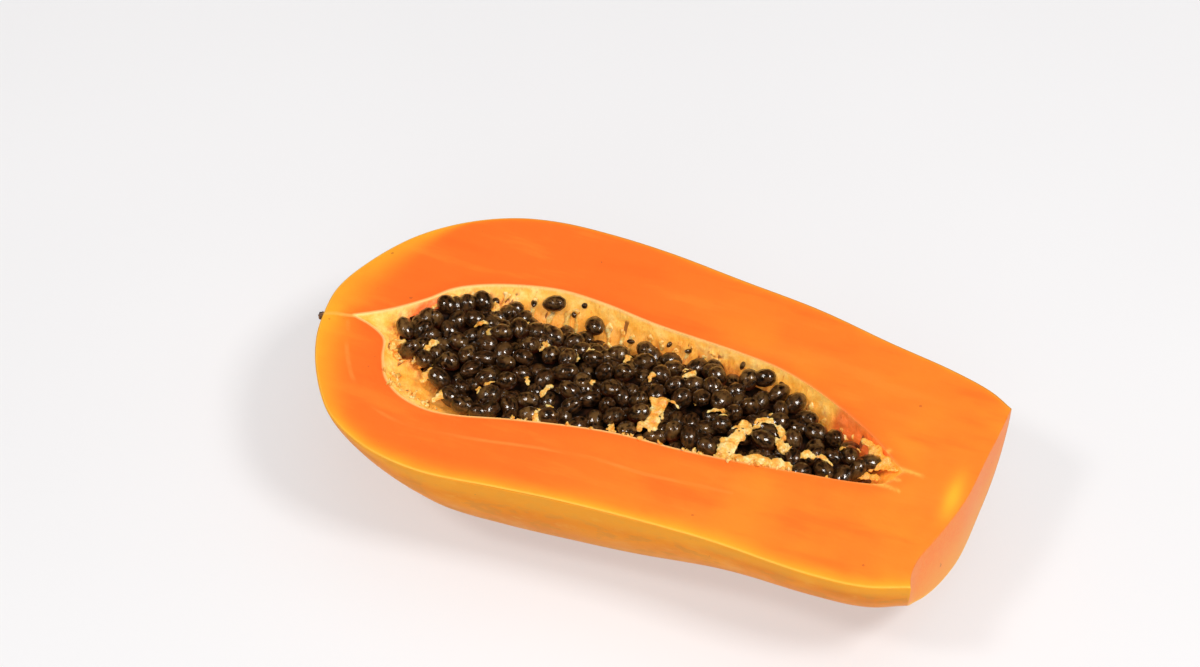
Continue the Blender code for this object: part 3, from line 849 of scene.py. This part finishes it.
def make_heap_shade(stations=36, across=14):
    """A dark body under the seeds, painted shade that shows only in the gaps between them."""
    loops = []
    for x in np.linspace(BED_FAR[0][0] + SHADE_INSET, BED_FAR[-1][0] - SHADE_INSET, stations + 1):
        y = np.linspace(curve_at(bed_near, x), curve_at(heap_far, x), across + 1)
        same_x = np.full(len(y), x)
        low = floor_level(same_x, y) + SHADE_ABOVE_LINING
        level = np.array([heap_height(x, side) - SHADE_BELOW_TOP - far_sink(x, side)[0] for side in y])
        top = np.stack([same_x, y, np.maximum(low + SHADE_THICKNESS, level)], axis=1)
        under = np.stack([same_x, y, low], axis=1)[::-1]
        loops.append(np.concatenate([top, under]))
    loops.insert(0, np.tile(loops[0].mean(axis=0), (len(loops[0]), 1)))
    loops.append(np.tile(loops[-1].mean(axis=0), (len(loops[-1]), 1)))
    body, _, _ = ringed_body("heap_shade", loops)
    close_up(body)
    roughened(body, *SHADE_LUMPS)
    smoothed(body)
    body.data.materials.append(heap_finish())
    return body


# Pulp


def strand_loops(points, flatness, rings, ragged, sides=12):
    """Loops of a flattened strand along places that each have a width, more or less ragged in outline."""
    path = along(curve_through(points), np.linspace(0.0, 1.0, rings))
    centre, width = path[:, :3], path[:, 3]
    draw = random.Random(round(points[0][0] * 10))
    width = width * np.array([1 + ragged * draw.uniform(-1.0, 1.0) for _ in range(rings)])
    tangent = np.gradient(centre, axis=0)
    tangent /= np.linalg.norm(tangent, axis=1)[:, None]
    side = np.cross(tangent, (0.0, 0.0, 1.0))
    side /= np.linalg.norm(side, axis=1)[:, None]
    rise = np.cross(side, tangent)
    ends = np.clip(1 - np.abs(np.linspace(-1.0, 1.0, rings)) ** 6, 0.0, 1.0) ** 0.5
    turns = np.linspace(0.0, 2 * math.pi, sides, endpoint=False)
    loops = []
    for i in range(rings):
        spread = width[i] / 2 * ends[i]
        sway = side[i] * width[i] * ragged * draw.uniform(-0.5, 0.5) * ends[i]
        across = side[i] * (np.cos(turns) * spread)[:, None]
        upward = rise[i] * (np.sin(turns) * spread * flatness)[:, None]
        loops.append(centre[i] + sway + across + upward)
    return loops


def make_strand(name, points, flatness=0.34, rings=16, lumps=STRAND_LUMPS, ragged=0.34, levels=2):
    """A torn strand, rounded and then crumbled by each size and height of lumps."""
    body, _, _ = ringed_body(name, strand_loops(points, flatness, rings, ragged))
    close_up(body)
    subdivided(body, levels)
    for size, height in lumps:
        roughened(body, size, height)
    smoothed(body)
    return body


def crumb_model(number):
    """A crumb of 1 mm radius, crumbled at a place of its own in the clouds and brought back to the origin."""
    away = (number * 20 * MM, 0.0, 0.0)
    deselect()
    bpy.ops.mesh.primitive_ico_sphere_add(subdivisions=2, radius=MM, location=away)
    crumb = bpy.context.object
    settled(crumb)
    roughened(crumb, *CRUMB_LUMPS)
    lay(crumb, corners(crumb) - np.array(away))
    smoothed(crumb)
    return crumb


def make_crumbs():
    """Crumbs of pulp, thick along the near rim and thin on the lining."""
    models = [crumb_model(number) for number in range(CRUMB_KINDS)]
    draw = random.Random(CRUMB_RANDOM)
    copies = []
    for x, y, long_reach, cross_reach, count in CRUMB_PATCHES:
        for _ in range(count):
            at_x = x + draw.gauss(0, long_reach / 2)
            low, high = curve_at(rim_near, at_x), curve_at(rim_far, at_x)
            at_y = float(np.clip(y + draw.gauss(0, cross_reach / 2), low + 0.1, high - 1.2))
            level = float(floor_level(at_x, at_y))
            if in_bed(at_x, at_y):
                level = max(level, heap_height(at_x, at_y) - CRUMB_SUNK)
            size = [draw.uniform(*bounds) for bounds in CRUMB_SIZES]
            turn = Euler([draw.uniform(0, math.pi) for _ in range(3)])
            copies.append(copied(draw.choice(models), (at_x, at_y, level + CRUMB_RAISED), turn, size))
    for model in models:
        bpy.data.objects.remove(model)
    return copies


def stalk_points(x, draw):
    """A seed stalk: it starts on the far wall and runs down to the heap."""
    start_y = float(curve_at(rim_far, x)) - draw.uniform(0.8, 2.4)
    end_y = float(curve_at(heap_far, x)) - draw.uniform(-1.5, 1.0)
    end_x = x + draw.uniform(-1.6, 1.6)
    start = (x, start_y, float(floor_level(x, start_y)) - 0.5, draw.uniform(2.2, 3.6))
    middle_x, middle_y = (x + end_x) / 2 + 0.4, (start_y + end_y) / 2
    middle_z = float(floor_level(middle_x, middle_y)) + draw.uniform(-0.3, 0.8)
    middle = (middle_x, middle_y, middle_z, draw.uniform(1.2, 2.4))
    end = (end_x, end_y, float(floor_level(end_x, end_y)) + draw.uniform(0.2, 1.4), draw.uniform(0.8, 1.4))
    return [start, middle, end]


def make_stalks():
    draw = random.Random(STALK_RANDOM)
    bodies = []
    for number, share in enumerate(np.linspace(0.03, 0.97, STALK_COUNT)):
        x = STALK_START + (STALK_END - STALK_START) * share + draw.uniform(-1.4, 1.4)
        points = stalk_points(x, draw)
        stalk = make_strand(f"stalk_{number}", points, 0.5, rings=8, lumps=STALK_LUMPS, ragged=0.35, levels=1)
        bodies.append(stalk)
    return bodies


def make_bits():
    """Small torn bits of pulp that lie over the gaps between seeds, more of them near the rims."""
    draw = random.Random(BIT_RANDOM)
    bodies = []
    for number in range(BIT_COUNT):
        x = draw.uniform(*BIT_SPAN)
        low, high = curve_at(bed_near, x), curve_at(bed_far, x)
        share = draw.random() ** 1.5
        y = float(low + (high - low) * share)
        turn, reach = draw.uniform(0, math.pi), draw.uniform(*BIT_REACH)
        step = np.array([math.cos(turn), math.sin(turn)]) * reach
        points = []
        for side, rise in ((-1, -1.2), (0, 0.0), (1, -1.4)):
            place = np.array([x, y]) + step * side
            level = heap_height(*place) - far_sink(*place)[0] - draw.uniform(*BIT_SUNK) + rise
            points.append((*place, level, draw.uniform(*BIT_WIDTH)))
        bit = make_strand(f"bit_{number}", points, 0.4, rings=10, lumps=BIT_LUMPS, ragged=0.4, levels=1)
        bodies.append(bit)
    return bodies


def make_pulp():
    """Strands, stalks, torn bits and crumbs, as one piece."""
    bodies = []
    for i, points in enumerate(PULP_STRANDS):
        sunk = [(x, y, level - STRAND_SUNK, width) for x, y, level, width in points]
        bodies.append(make_strand(f"strand_{i}", sunk))
    bodies += make_stalks()
    bodies += make_bits()
    bodies += make_crumbs()
    pulp = joined("papaya_pulp", bodies)
    settled(pulp)
    pulp.data.materials.clear()
    pulp.data.materials.append(pulp_finish())
    return pulp


def make_tip_scar():
    """The dry dark scar of the flower at the blossom tip."""
    scar = make_strand("tip_scar", TIP_SCAR, 0.8, rings=10, lumps=SCAR_LUMPS, ragged=0.2)
    scar.data.materials.append(scar_finish())
    return scar


# Finishes


def feed(tree, node, inputs):
    """Links what other nodes give into a node's sockets, and sets plain numbers and colours on them."""
    for socket, value in inputs.items():
        if isinstance(value, bpy.types.NodeSocket):
            tree.links.new(value, node.inputs[socket])
        else:
            node.inputs[socket].default_value = value


def add(tree, kind, inputs=None, **settings):
    """A node with its settings and its inputs."""
    made = tree.nodes.new(kind)
    for key, value in settings.items():
        setattr(made, key, value)
    feed(tree, made, inputs or {})
    return made


def new_finish(name):
    finish = bpy.data.materials.new(name)
    finish.use_nodes = True
    return finish, finish.node_tree, finish.node_tree.nodes["Principled BSDF"]


def object_place(tree):
    return add(tree, "ShaderNodeTexCoord").outputs["Object"]


def measure(tree, place, axis):
    return add(tree, "ShaderNodeSeparateXYZ", {"Vector": place}).outputs[axis]


def kept_number(tree, name):
    return add(tree, "ShaderNodeAttribute", attribute_name=name).outputs["Fac"]


def stretched(tree, place, scale):
    return add(tree, "ShaderNodeMapping", {"Vector": place, "Scale": scale}).outputs["Vector"]


def noise(tree, place, size, detail=3.0, roughness=0.55):
    """Cloudy values with blotches of about a size in mm."""
    inputs = {"Vector": place, "Scale": 1 / (size * MM), "Detail": detail, "Roughness": roughness}
    return add(tree, "ShaderNodeTexNoise", inputs).outputs["Fac"]


def between(tree, value, low, high, to_low=0.0, to_high=1.0):
    """Eases from one number to another while a value goes from low to high."""
    inputs = {"Value": value, "From Min": low, "From Max": high, "To Min": to_low, "To Max": to_high}
    return add(tree, "ShaderNodeMapRange", inputs, interpolation_type="SMOOTHSTEP").outputs["Result"]


def product(tree, first, second):
    return add(tree, "ShaderNodeMath", {0: first, 1: second}, operation="MULTIPLY").outputs["Value"]


def total(tree, first, second):
    return add(tree, "ShaderNodeMath", {0: first, 1: second}, operation="ADD").outputs["Value"]


def mixed(tree, share, under, over):
    """A share of the colour over, and the rest of the colour under."""
    inputs = {0: share}
    for socket, colour in ((6, under), (7, over)):
        inputs[socket] = (*colour, 1.0) if isinstance(colour, tuple) else colour
    return add(tree, "ShaderNodeMix", inputs, data_type="RGBA").outputs[2]


def layered(tree, ground, layers):
    """Paints layers over a ground colour, each given as the share that it covers and its colour."""
    for share, colour in layers:
        ground = mixed(tree, share, ground, colour)
    return ground


def colour_ramp(tree, value, stops):
    made = add(tree, "ShaderNodeValToRGB", {"Fac": value})
    elements = made.color_ramp.elements
    while len(elements) < len(stops):
        elements.new(1.0)
    for element, (position, colour) in zip(elements, stops):
        element.position = position
        element.color = (*colour, 1.0)
    return made.outputs["Color"]


def bump(tree, height, strength, depth):
    """Relief of a depth in mm."""
    inputs = {"Height": height, "Strength": strength, "Distance": depth * MM}
    return add(tree, "ShaderNodeBump", inputs).outputs["Normal"]


def flesh_finish():
    """Cut flesh: a pale line at the skin, yellow-orange turning red-orange inwards, and soft long streaks."""
    finish, tree, surface = new_finish("papaya_flesh")
    place = object_place(tree)
    x, y, z = (measure(tree, place, axis) for axis in "XYZ")
    from_skin = kept_number(tree, "from_skin")
    from_rim = kept_number(tree, "from_rim")
    streaks = noise(tree, stretched(tree, place, (0.2, 1.0, 1.0)), 8.0, 4.0)
    clouds = noise(tree, place, 26.0, 2.0)
    grain = noise(tree, place, 1.2, 3.0)

    stemward = product(tree, between(tree, x, -0.035, 0.05), between(tree, clouds, 0.25, 0.75, 0.3, 1.0))
    red_streaks = between(tree, streaks, 0.50, 0.72, 0.0, 0.6)
    pale_streaks = between(tree, streaks, 0.30, 0.47, 0.38, 0.0)
    yellow = product(tree, between(tree, clouds, 0.3, 0.7, 0.75, 1.15), kept_number(tree, "yellowing"))
    by_rim = between(tree, from_rim, 0.8, 6.5, 0.35, 0.0)
    red = between(tree, kept_number(tree, "from_red"), 0.8, 3.4, 0.8, 0.0)
    frayed = product(tree, kept_number(tree, "feathering"), between(tree, grain, 0.30, 0.55, 0.45, 1.0))
    vein = between(tree, kept_number(tree, "from_vein"), 0.15, 1.1, 0.34, 0.0)
    vein = product(tree, vein, between(tree, streaks, 0.38, 0.60))
    skin_line = between(tree, from_skin, 0.3, 1.0, 0.9, 0.0)
    rim_line = between(tree, from_rim, 0.15, 0.9, 0.85, 0.0)
    rim_line = product(tree, rim_line, between(tree, x, 0.0, 0.075, 1.0, 0.15))
    seam = between(tree, kept_number(tree, "from_seam"), 0.1, 1.1, 0.55, 0.0)
    specks = between(tree, noise(tree, place, 2.4, 1.0, 0.3), 0.795, 0.83, 0.0, 0.6)

    peach = mixed(tree, between(tree, grain, 0.35, 0.65), (1.0, 0.225, 0.014), (1.0, 0.27, 0.030))
    peach = mixed(tree, between(tree, z, 0.012, 0.040, 1.0, 0.0), peach, (1.0, 0.38, 0.050))
    far_side = product(tree, between(tree, y, -0.005, 0.02), between(tree, x, -0.09, -0.05))
    skin_colour = mixed(tree, far_side, (1.0, 0.50, 0.06), (0.66, 0.24, 0.025))
    colour = layered(tree, (0.98, 0.167, 0.017), [
        (stemward, (0.985, 0.255, 0.021)),
        (red_streaks, (0.975, 0.145, 0.014)),
        (pale_streaks, (0.985, 0.27, 0.03)),
        (yellow, (0.985, 0.405, 0.022)),
        (by_rim, (0.94, 0.125, 0.012)),
        (red, (0.92, 0.105, 0.016)),
        (frayed, (1.0, 0.44, 0.07)),
        (vein, (1.0, 0.36, 0.07)),
        (kept_number(tree, "yellow_patch"), (0.99, 0.50, 0.03)),
        (kept_number(tree, "end_cut"), peach),
        (skin_line, skin_colour),
        (rim_line, (1.0, 0.55, 0.18)),
        (seam, (1.0, 0.54, 0.12)),
        (specks, (0.55, 0.10, 0.02)),
    ])
    height = total(tree, grain, product(tree, streaks, 2.0))
    feed(tree, surface, {
        "Base Color": colour,
        "Roughness": 0.42,
        "Specular IOR Level": 0.18,
        "Subsurface Weight": 0.18,
        "Subsurface Radius": (1.0, 0.35, 0.12),
        "Subsurface Scale": 2.2 * MM,
        "Normal": bump(tree, height, 0.35, 0.16),
    })
    return finish


def skin_finish():
    """Thin ripe skin: orange-tan with paler and darker mottling and small specks."""
    finish, tree, surface = new_finish("papaya_skin")
    place = object_place(tree)
    blotches = noise(tree, stretched(tree, place, (0.45, 1.0, 1.0)), 20.0, 4.0, 0.6)
    mottle = noise(tree, stretched(tree, place, (0.5, 1.0, 1.0)), 5.0, 5.0, 0.62)
    ground = colour_ramp(tree, blotches, [
        (0.28, (0.74, 0.21, 0.004)),
        (0.45, (0.87, 0.26, 0.005)),
        (0.60, (0.94, 0.32, 0.009)),
        (0.75, (0.92, 0.35, 0.030)),
    ])
    tan = between(tree, mottle, 0.48, 0.62, 0.0, 0.6)
    pale = between(tree, mottle, 0.30, 0.44, 0.45, 0.0)
    low = between(tree, measure(tree, place, "Z"), 0.012, 0.036, 0.5, 0.0)
    cells = add(tree, "ShaderNodeTexVoronoi", {"Vector": place, "Scale": 1 / (5.0 * MM)}).outputs["Distance"]
    gate = between(tree, noise(tree, place, 14.0, 1.0), 0.5, 0.62)
    specks = product(tree, between(tree, cells, 0.03, 0.085, 0.7, 0.0), gate)
    edge = between(tree, kept_number(tree, "from_skin"), 0.0, 0.7, 0.6, 0.0)
    colour = layered(tree, ground, [
        (tan, (0.72, 0.27, 0.035)),
        (pale, (0.93, 0.41, 0.045)),
        (low, (0.66, 0.29, 0.055)),
        (specks, (0.40, 0.15, 0.03)),
        (edge, (0.98, 0.43, 0.035)),
    ])
    height = total(tree, product(tree, mottle, 2.0), noise(tree, place, 0.9, 2.0))
    feed(tree, surface, {
        "Base Color": colour,
        "Roughness": between(tree, mottle, 0.3, 0.7, 0.38, 0.52),
        "Specular IOR Level": 0.1,
        "Subsurface Weight": 0.08,
        "Subsurface Radius": (1.0, 0.4, 0.12),
        "Subsurface Scale": 1.2 * MM,
        "Normal": bump(tree, height, 0.3, 0.12),
    })
    return finish


def lining_finish():
    """The cavity's lining: pale fibrous tissue, cream at the rim, browner and wetter down among the seeds,
    with painted shade that turns it near black under the seed bed and a painted glow over all of it.
    """
    finish, tree, surface = new_finish("cavity_lining")
    place = object_place(tree)
    x = measure(tree, place, "X")
    from_rim = kept_number(tree, "from_rim")
    from_bed = kept_number(tree, "from_bed")
    fibres = noise(tree, stretched(tree, place, (1.0, 0.45, 0.45)), 1.5, 5.0, 0.65)
    blotches = noise(tree, place, 5.0, 4.0, 0.6)
    strokes = noise(tree, stretched(tree, place, (1.0, 0.3, 0.3)), 3.0, 2.0)
    ground = colour_ramp(tree, blotches, [
        (0.30, (0.97, 0.39, 0.04)),
        (0.48, (1.0, 0.49, 0.08)),
        (0.66, (1.0, 0.61, 0.17)),
    ])
    stemward = between(tree, x, 0.055, 0.078, 0.0, 0.85)
    down_wall = between(tree, from_rim, -9.0, -2.0, 0.5, 0.0)
    stained = product(tree, between(tree, from_bed, 0.0, 5.0, 0.95, 0.0), between(tree, fibres, 0.38, 0.60))
    red = between(tree, kept_number(tree, "from_red"), 0.8, 4.2, 0.8, 0.0)
    # Painted shade: the lining turns near black under the seed bed, where the seeds shade it
    painted_shade_under_seeds = between(tree, from_bed, -3.0, -0.6, 0.95, 0.0)
    specks = between(tree, fibres, 0.60, 0.70, 0.0, 0.6)
    strokes = between(tree, strokes, 0.63, 0.68)
    strokes = product(tree, strokes, between(tree, from_rim, -3.5, -2.0, 0.85, 0.0))
    rim_line = between(tree, from_rim, -1.1, -0.2, 0.0, 0.9)
    rim_line = product(tree, rim_line, between(tree, x, -0.01, 0.05, 1.0, 0.1))
    colour = layered(tree, ground, [
        (stemward, (1.0, 0.33, 0.025)),
        (down_wall, (1.0, 0.33, 0.035)),
        (stained, (0.60, 0.15, 0.018)),
        (red, (0.90, 0.12, 0.02)),
        (painted_shade_under_seeds, (0.06, 0.018, 0.008)),
        (specks, (0.45, 0.14, 0.02)),
        (strokes, (0.20, 0.045, 0.010)),
        (rim_line, (1.0, 0.58, 0.20)),
    ])
    feed(tree, surface, {
        "Base Color": colour,
        # Painted glow: the lining gives off light in its own colour, standing in for light that shines
        # through the flesh
        "Emission Color": colour,
        "Emission Strength": 0.29,
        "Roughness": 0.38,
        "Subsurface Weight": 0.12,
        "Subsurface Radius": (1.0, 0.45, 0.15),
        "Subsurface Scale": 1.5 * MM,
        "Normal": bump(tree, fibres, 1.0, 0.9),
    })
    return finish


def seed_finish():
    """A ridged black-brown seed in its wet film, with painted sheen that makes its top olive-brown, and a
    painted glow of light coming through below that makes its underside reddish.

    A seed's own places are in mm, so the sizes of its patterns are divided by MM.
    """
    finish, tree, surface = new_finish("papaya_seed_film")
    own = add(tree, "ShaderNodeAttribute", attribute_name="own_place").outputs["Vector"]
    upper = kept_number(tree, "upper")
    tone = kept_number(tree, "tone")
    ridges = noise(tree, stretched(tree, own, (0.35, 1.0, 1.0)), 0.95 / MM, 3.0, 0.65)
    wrinkles = noise(tree, own, 2.1 / MM, 3.0, 0.6)
    # Painted sheen: the real film is drawn lighter olive-brown where the seed faces up, as the gloss of light
    # from above would show
    film = product(tree, between(tree, upper, 0.0, 0.9), between(tree, wrinkles, 0.44, 0.60))
    film = product(tree, film, between(tree, tone, 0.0, 1.0, 0.1, 1.0))
    # Painted glow: the seed's underside is reddish, as if light came through the film below
    below = product(tree, between(tree, upper, -0.5, 0.25, 1.0, 0.0), between(tree, tone, 0.2, 0.8, 0.0, 0.8))
    colour = layered(tree, (0.0025, 0.0012, 0.0008), [
        (between(tree, ridges, 0.42, 0.59), (0.065, 0.024, 0.007)),
        (film, (0.160, 0.078, 0.022)),
        (below, (0.16, 0.018, 0.003)),
    ])
    height = total(tree, wrinkles, product(tree, ridges, 0.8))
    feed(tree, surface, {
        "Base Color": colour,
        "Roughness": 0.3,
        "IOR": 1.4,
        "Specular Tint": (1.0, 0.72, 0.48, 1.0),
        "Coat Weight": 1.0,
        "Coat Roughness": 0.07,
        "Coat IOR": 1.6,
        "Normal": bump(tree, height, 0.7, 0.5),
        "Coat Normal": bump(tree, height, 0.35, 0.4),
    })
    return finish


def heap_finish():
    # Painted shade: a near black, dull finish for the dark body that stands for the shade between the seeds
    finish, tree, surface = new_finish("painted_heap_shade")
    blotches = between(tree, noise(tree, object_place(tree), 4.0, 3.0), 0.45, 0.65)
    feed(tree, surface, {
        "Base Color": mixed(tree, blotches, (0.004, 0.002, 0.001), (0.035, 0.010, 0.003)),
        "Roughness": 0.6,
        "Specular IOR Level": 0.1,
    })
    return finish


def pulp_finish():
    """Pulp: wet, fibrous, yellow-orange with cream edges, and more orange at the stem end."""
    finish, tree, surface = new_finish("papaya_pulp")
    place = object_place(tree)
    blotches = noise(tree, place, 2.6, 4.0, 0.6)
    fibres = noise(tree, stretched(tree, place, (0.5, 1.0, 1.0)), 0.9, 4.0, 0.6)
    ground = colour_ramp(tree, blotches, [
        (0.36, (0.88, 0.32, 0.035)),
        (0.50, (0.98, 0.52, 0.10)),
        (0.62, (1.0, 0.72, 0.29)),
    ])
    colour = layered(tree, ground, [
        (between(tree, measure(tree, place, "X"), 0.066, 0.078, 0.0, 0.75), (1.0, 0.37, 0.035)),
        (between(tree, fibres, 0.54, 0.68, 0.0, 0.6), (0.62, 0.22, 0.035)),
    ])
    feed(tree, surface, {
        "Base Color": colour,
        "Roughness": 0.32,
        "Subsurface Weight": 0.25,
        "Subsurface Radius": (1.0, 0.5, 0.18),
        "Subsurface Scale": 1.5 * MM,
        "Normal": bump(tree, fibres, 0.6, 0.35),
    })
    return finish


def scar_finish():
    finish, tree, surface = new_finish("dry_scar")
    spots = between(tree, noise(tree, object_place(tree), 0.8, 3.0), 0.42, 0.60)
    feed(tree, surface, {
        "Base Color": mixed(tree, spots, (0.02, 0.010, 0.005), (0.22, 0.10, 0.04)),
        "Roughness": 0.7,
    })
    return finish


def floor_finish():
    finish, tree, surface = new_finish("pale_table")
    clouds = between(tree, noise(tree, object_place(tree), 300.0, 2.0), 0.3, 0.7)
    feed(tree, surface, {
        "Base Color": mixed(tree, clouds, (0.45, 0.45, 0.455), (0.47, 0.47, 0.475)),
        "Roughness": 0.6,
        "Specular IOR Level": 0.2,
        "Emission Color": (1.0, 0.985, 0.995, 1.0),
        "Emission Strength": 0.42,
    })
    return finish


# Stage


def make_floor():
    deselect()
    bpy.ops.mesh.primitive_plane_add(size=FLOOR_SIZE)
    floor = bpy.context.object
    floor.name = "table_top"
    floor.data.materials.append(floor_finish())


def make_camera():
    eye, target = Vector(placed(EYE)), Vector(placed(TARGET))
    deselect()
    bpy.ops.object.camera_add(location=eye, rotation=(target - eye).to_track_quat("-Z", "Y").to_euler())
    camera = bpy.context.object
    camera.name = "photo_angle"
    camera.data.sensor_width = SENSOR
    camera.data.lens = LENS
    camera.data.clip_start = 0.01
    bpy.context.scene.camera = camera
    bpy.context.scene.view_settings.view_transform = "Standard"


def make_light(name, place, size, power, mirrored=True):
    """A soft square light that faces the half, with its place in metres, seen in the seeds' gloss or not."""
    aim = (Vector(LIGHT_AIM) - Vector(place)).to_track_quat("-Z", "Y").to_euler()
    deselect()
    bpy.ops.object.light_add(type="AREA", location=place, rotation=aim)
    light = bpy.context.object
    light.name = name
    light.data.size = size
    light.data.energy = power
    light.data.color = LIGHT_COLOUR
    light.visible_glossy = mirrored


def make_lights():
    make_light("overhead", (0.0, 0.30, 1.30), size=1.4, power=3.4, mirrored=False)
    make_light("front_card", (0.45, -1.05, 0.70), size=0.8, power=3.4, mirrored=False)
    make_light("window_right", (0.79, -0.125, 1.15), size=0.32, power=9.4)
    make_light("window_left", (-0.51, -0.62, 1.15), size=0.24, power=5.4)


def make_room():
    """Soft light from all round, brighter from above, that the seeds' gloss doesn't show."""
    world = bpy.data.worlds.new("soft_room")
    world.use_nodes = True
    tree = world.node_tree
    background = tree.nodes["Background"]
    background.inputs["Color"].default_value = (1.0, 0.985, 0.975, 1.0)
    direction = add(tree, "ShaderNodeTexCoord").outputs["Generated"]
    brightness = between(tree, measure(tree, direction, "Z"), 0.0, 1.0, 0.08, 0.42)
    tree.links.new(brightness, background.inputs["Strength"])
    bpy.context.scene.world = world
    world.cycles_visibility.glossy = False


def make_papaya():
    half = shape_half()
    part_of(half)
    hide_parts("papaya_half")

    seeds = make_seeds()
    part_of(seeds)
    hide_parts("seeds")

    part_of(make_heap_shade())
    part_of(make_pulp())
    part_of(make_tip_scar())


make_papaya()
make_floor()
make_lights()
make_room()
make_camera()
